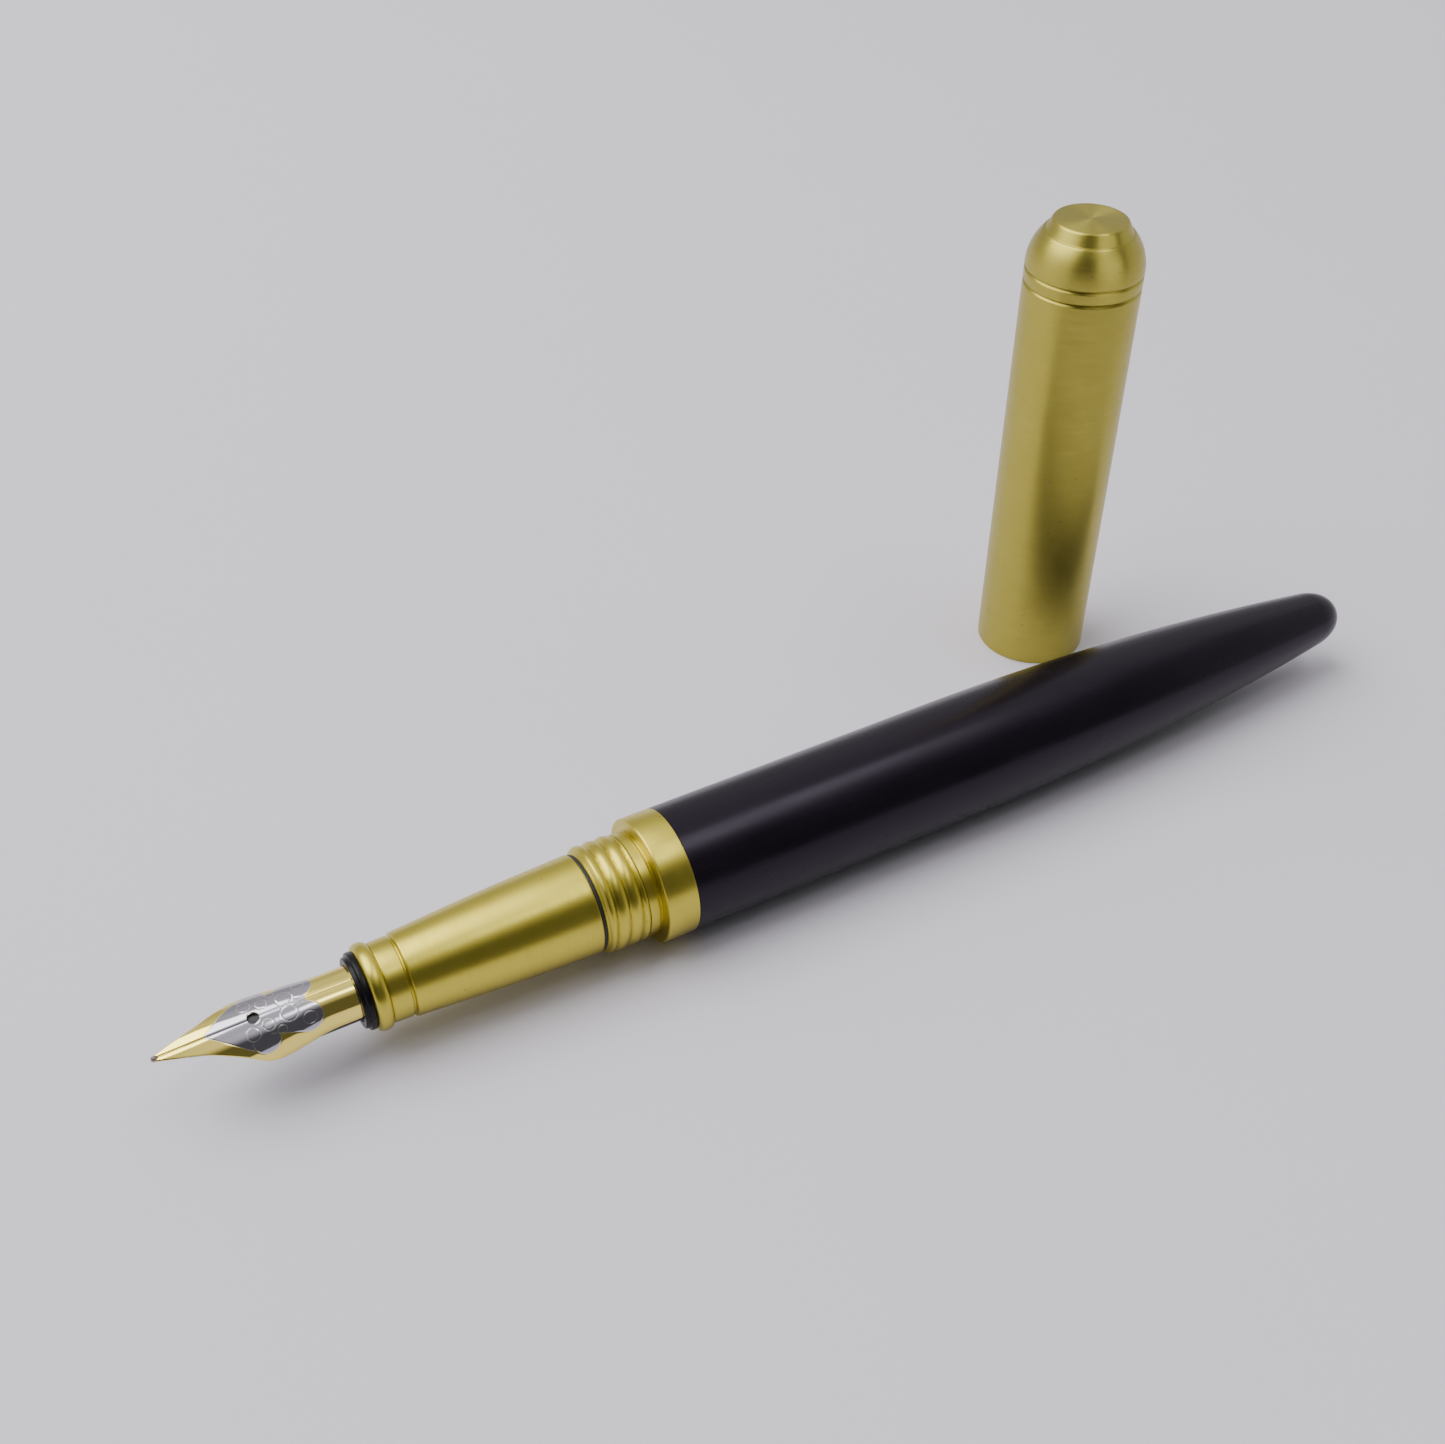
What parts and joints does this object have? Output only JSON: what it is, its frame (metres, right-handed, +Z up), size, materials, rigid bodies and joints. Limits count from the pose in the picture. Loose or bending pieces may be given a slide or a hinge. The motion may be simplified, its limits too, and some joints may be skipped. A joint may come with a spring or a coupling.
{
  "type": "fountain pen",
  "caption": "Uncapped fountain pen with a tapered grip, two-tone nib and screw-piston ink converter, its metal screw cap standing beside the barrel.",
  "frame": {"origin": "middle of the set's footprint on the table", "axes": "+Z up; the pen's axis lies along X with the nib towards -X; the cap stands on the +Y side"},
  "size_m": [0.1408, 0.0334, 0.0537],
  "materials": {
    "black_resin": "satin",
    "brushed_brass": "brushed satin lacquer",
    "cap_brass": "brushed satin lacquer",
    "tube_brass": "drawn, plain",
    "nib_two_tone": "polished, two-tone plated",
    "nib_tipping": "ground",
    "black_plastic": "moulded",
    "feed_plastic": "moulded",
    "seal_rubber": "moulded",
    "clear_plastic": "clear moulded",
    "converter_chrome": "plated",
    "white_plastic": "moulded",
    "screw_steel": "turned"
  },
  "bodies": {
    "barrel": {"barrel": "black_resin", "barrel_tube": "tube_brass", "trim_ring": "brushed_brass", "barrel_coupler": "brushed_brass"},
    "cap": {"cap_shell": "cap_brass", "cap_liner": "black_plastic", "cap_spacer_ring": "cap_brass", "cap_finial": "cap_brass", "cap_screw": "screw_steel"},
    "section_seal": {"section_o_ring": "seal_rubber"},
    "section": {"section": "brushed_brass", "nib_housing": "black_plastic"},
    "nib_unit": {"nib": "nib_two_tone", "nib_tipping": "nib_tipping", "feed": "feed_plastic"},
    "converter": {"converter_tube": "clear_plastic", "converter_sleeve": "converter_chrome", "converter_bush": "white_plastic"},
    "converter_drive": {"converter_knob": "black_plastic", "converter_spindle": "white_plastic"},
    "converter_plunger": {"converter_rod": "white_plastic", "converter_piston": "white_plastic", "converter_seals": "seal_rubber"}
  },
  "joints": [
    {"name": "cap_lift", "type": "slide", "parent": "barrel", "child": "cap", "axis": [0, 0, 1], "range_m": [0, 0.07]},
    {"name": "section_travel", "type": "slide", "parent": "barrel", "child": "section_seal", "axis": [-1, 0, 0], "range_m": [0, 0.006]},
    {"name": "section_turn", "type": "hinge", "parent": "section_seal", "child": "section", "pos_m": [-0.01878, -0.01015, 0.0065], "axis": [-1, 0, 0], "range_deg": [0, 2880]},
    {"name": "nib_pull", "type": "slide", "parent": "section", "child": "nib_unit", "axis": [-1, 0, 0], "range_m": [0, 0.018]},
    {"name": "converter_pull", "type": "slide", "parent": "section", "child": "converter", "axis": [1, 0, 0], "range_m": [0, 0.0063]},
    {"name": "knob_turn", "type": "hinge", "parent": "converter", "child": "converter_drive", "pos_m": [0.02622, -0.01015, 0.0065], "axis": [1, 0, 0], "range_deg": [0, 2520]},
    {"name": "piston_travel", "type": "slide", "parent": "converter", "child": "converter_plunger", "axis": [-1, 0, 0], "range_m": [0, 0.021]}
  ],
  "couplings": [
    {"joint": "section_turn", "follows": "section_travel", "rad_per_m": 8377.6},
    {"joint": "knob_turn", "follows": "piston_travel", "rad_per_m": 2094.4}
  ]
}
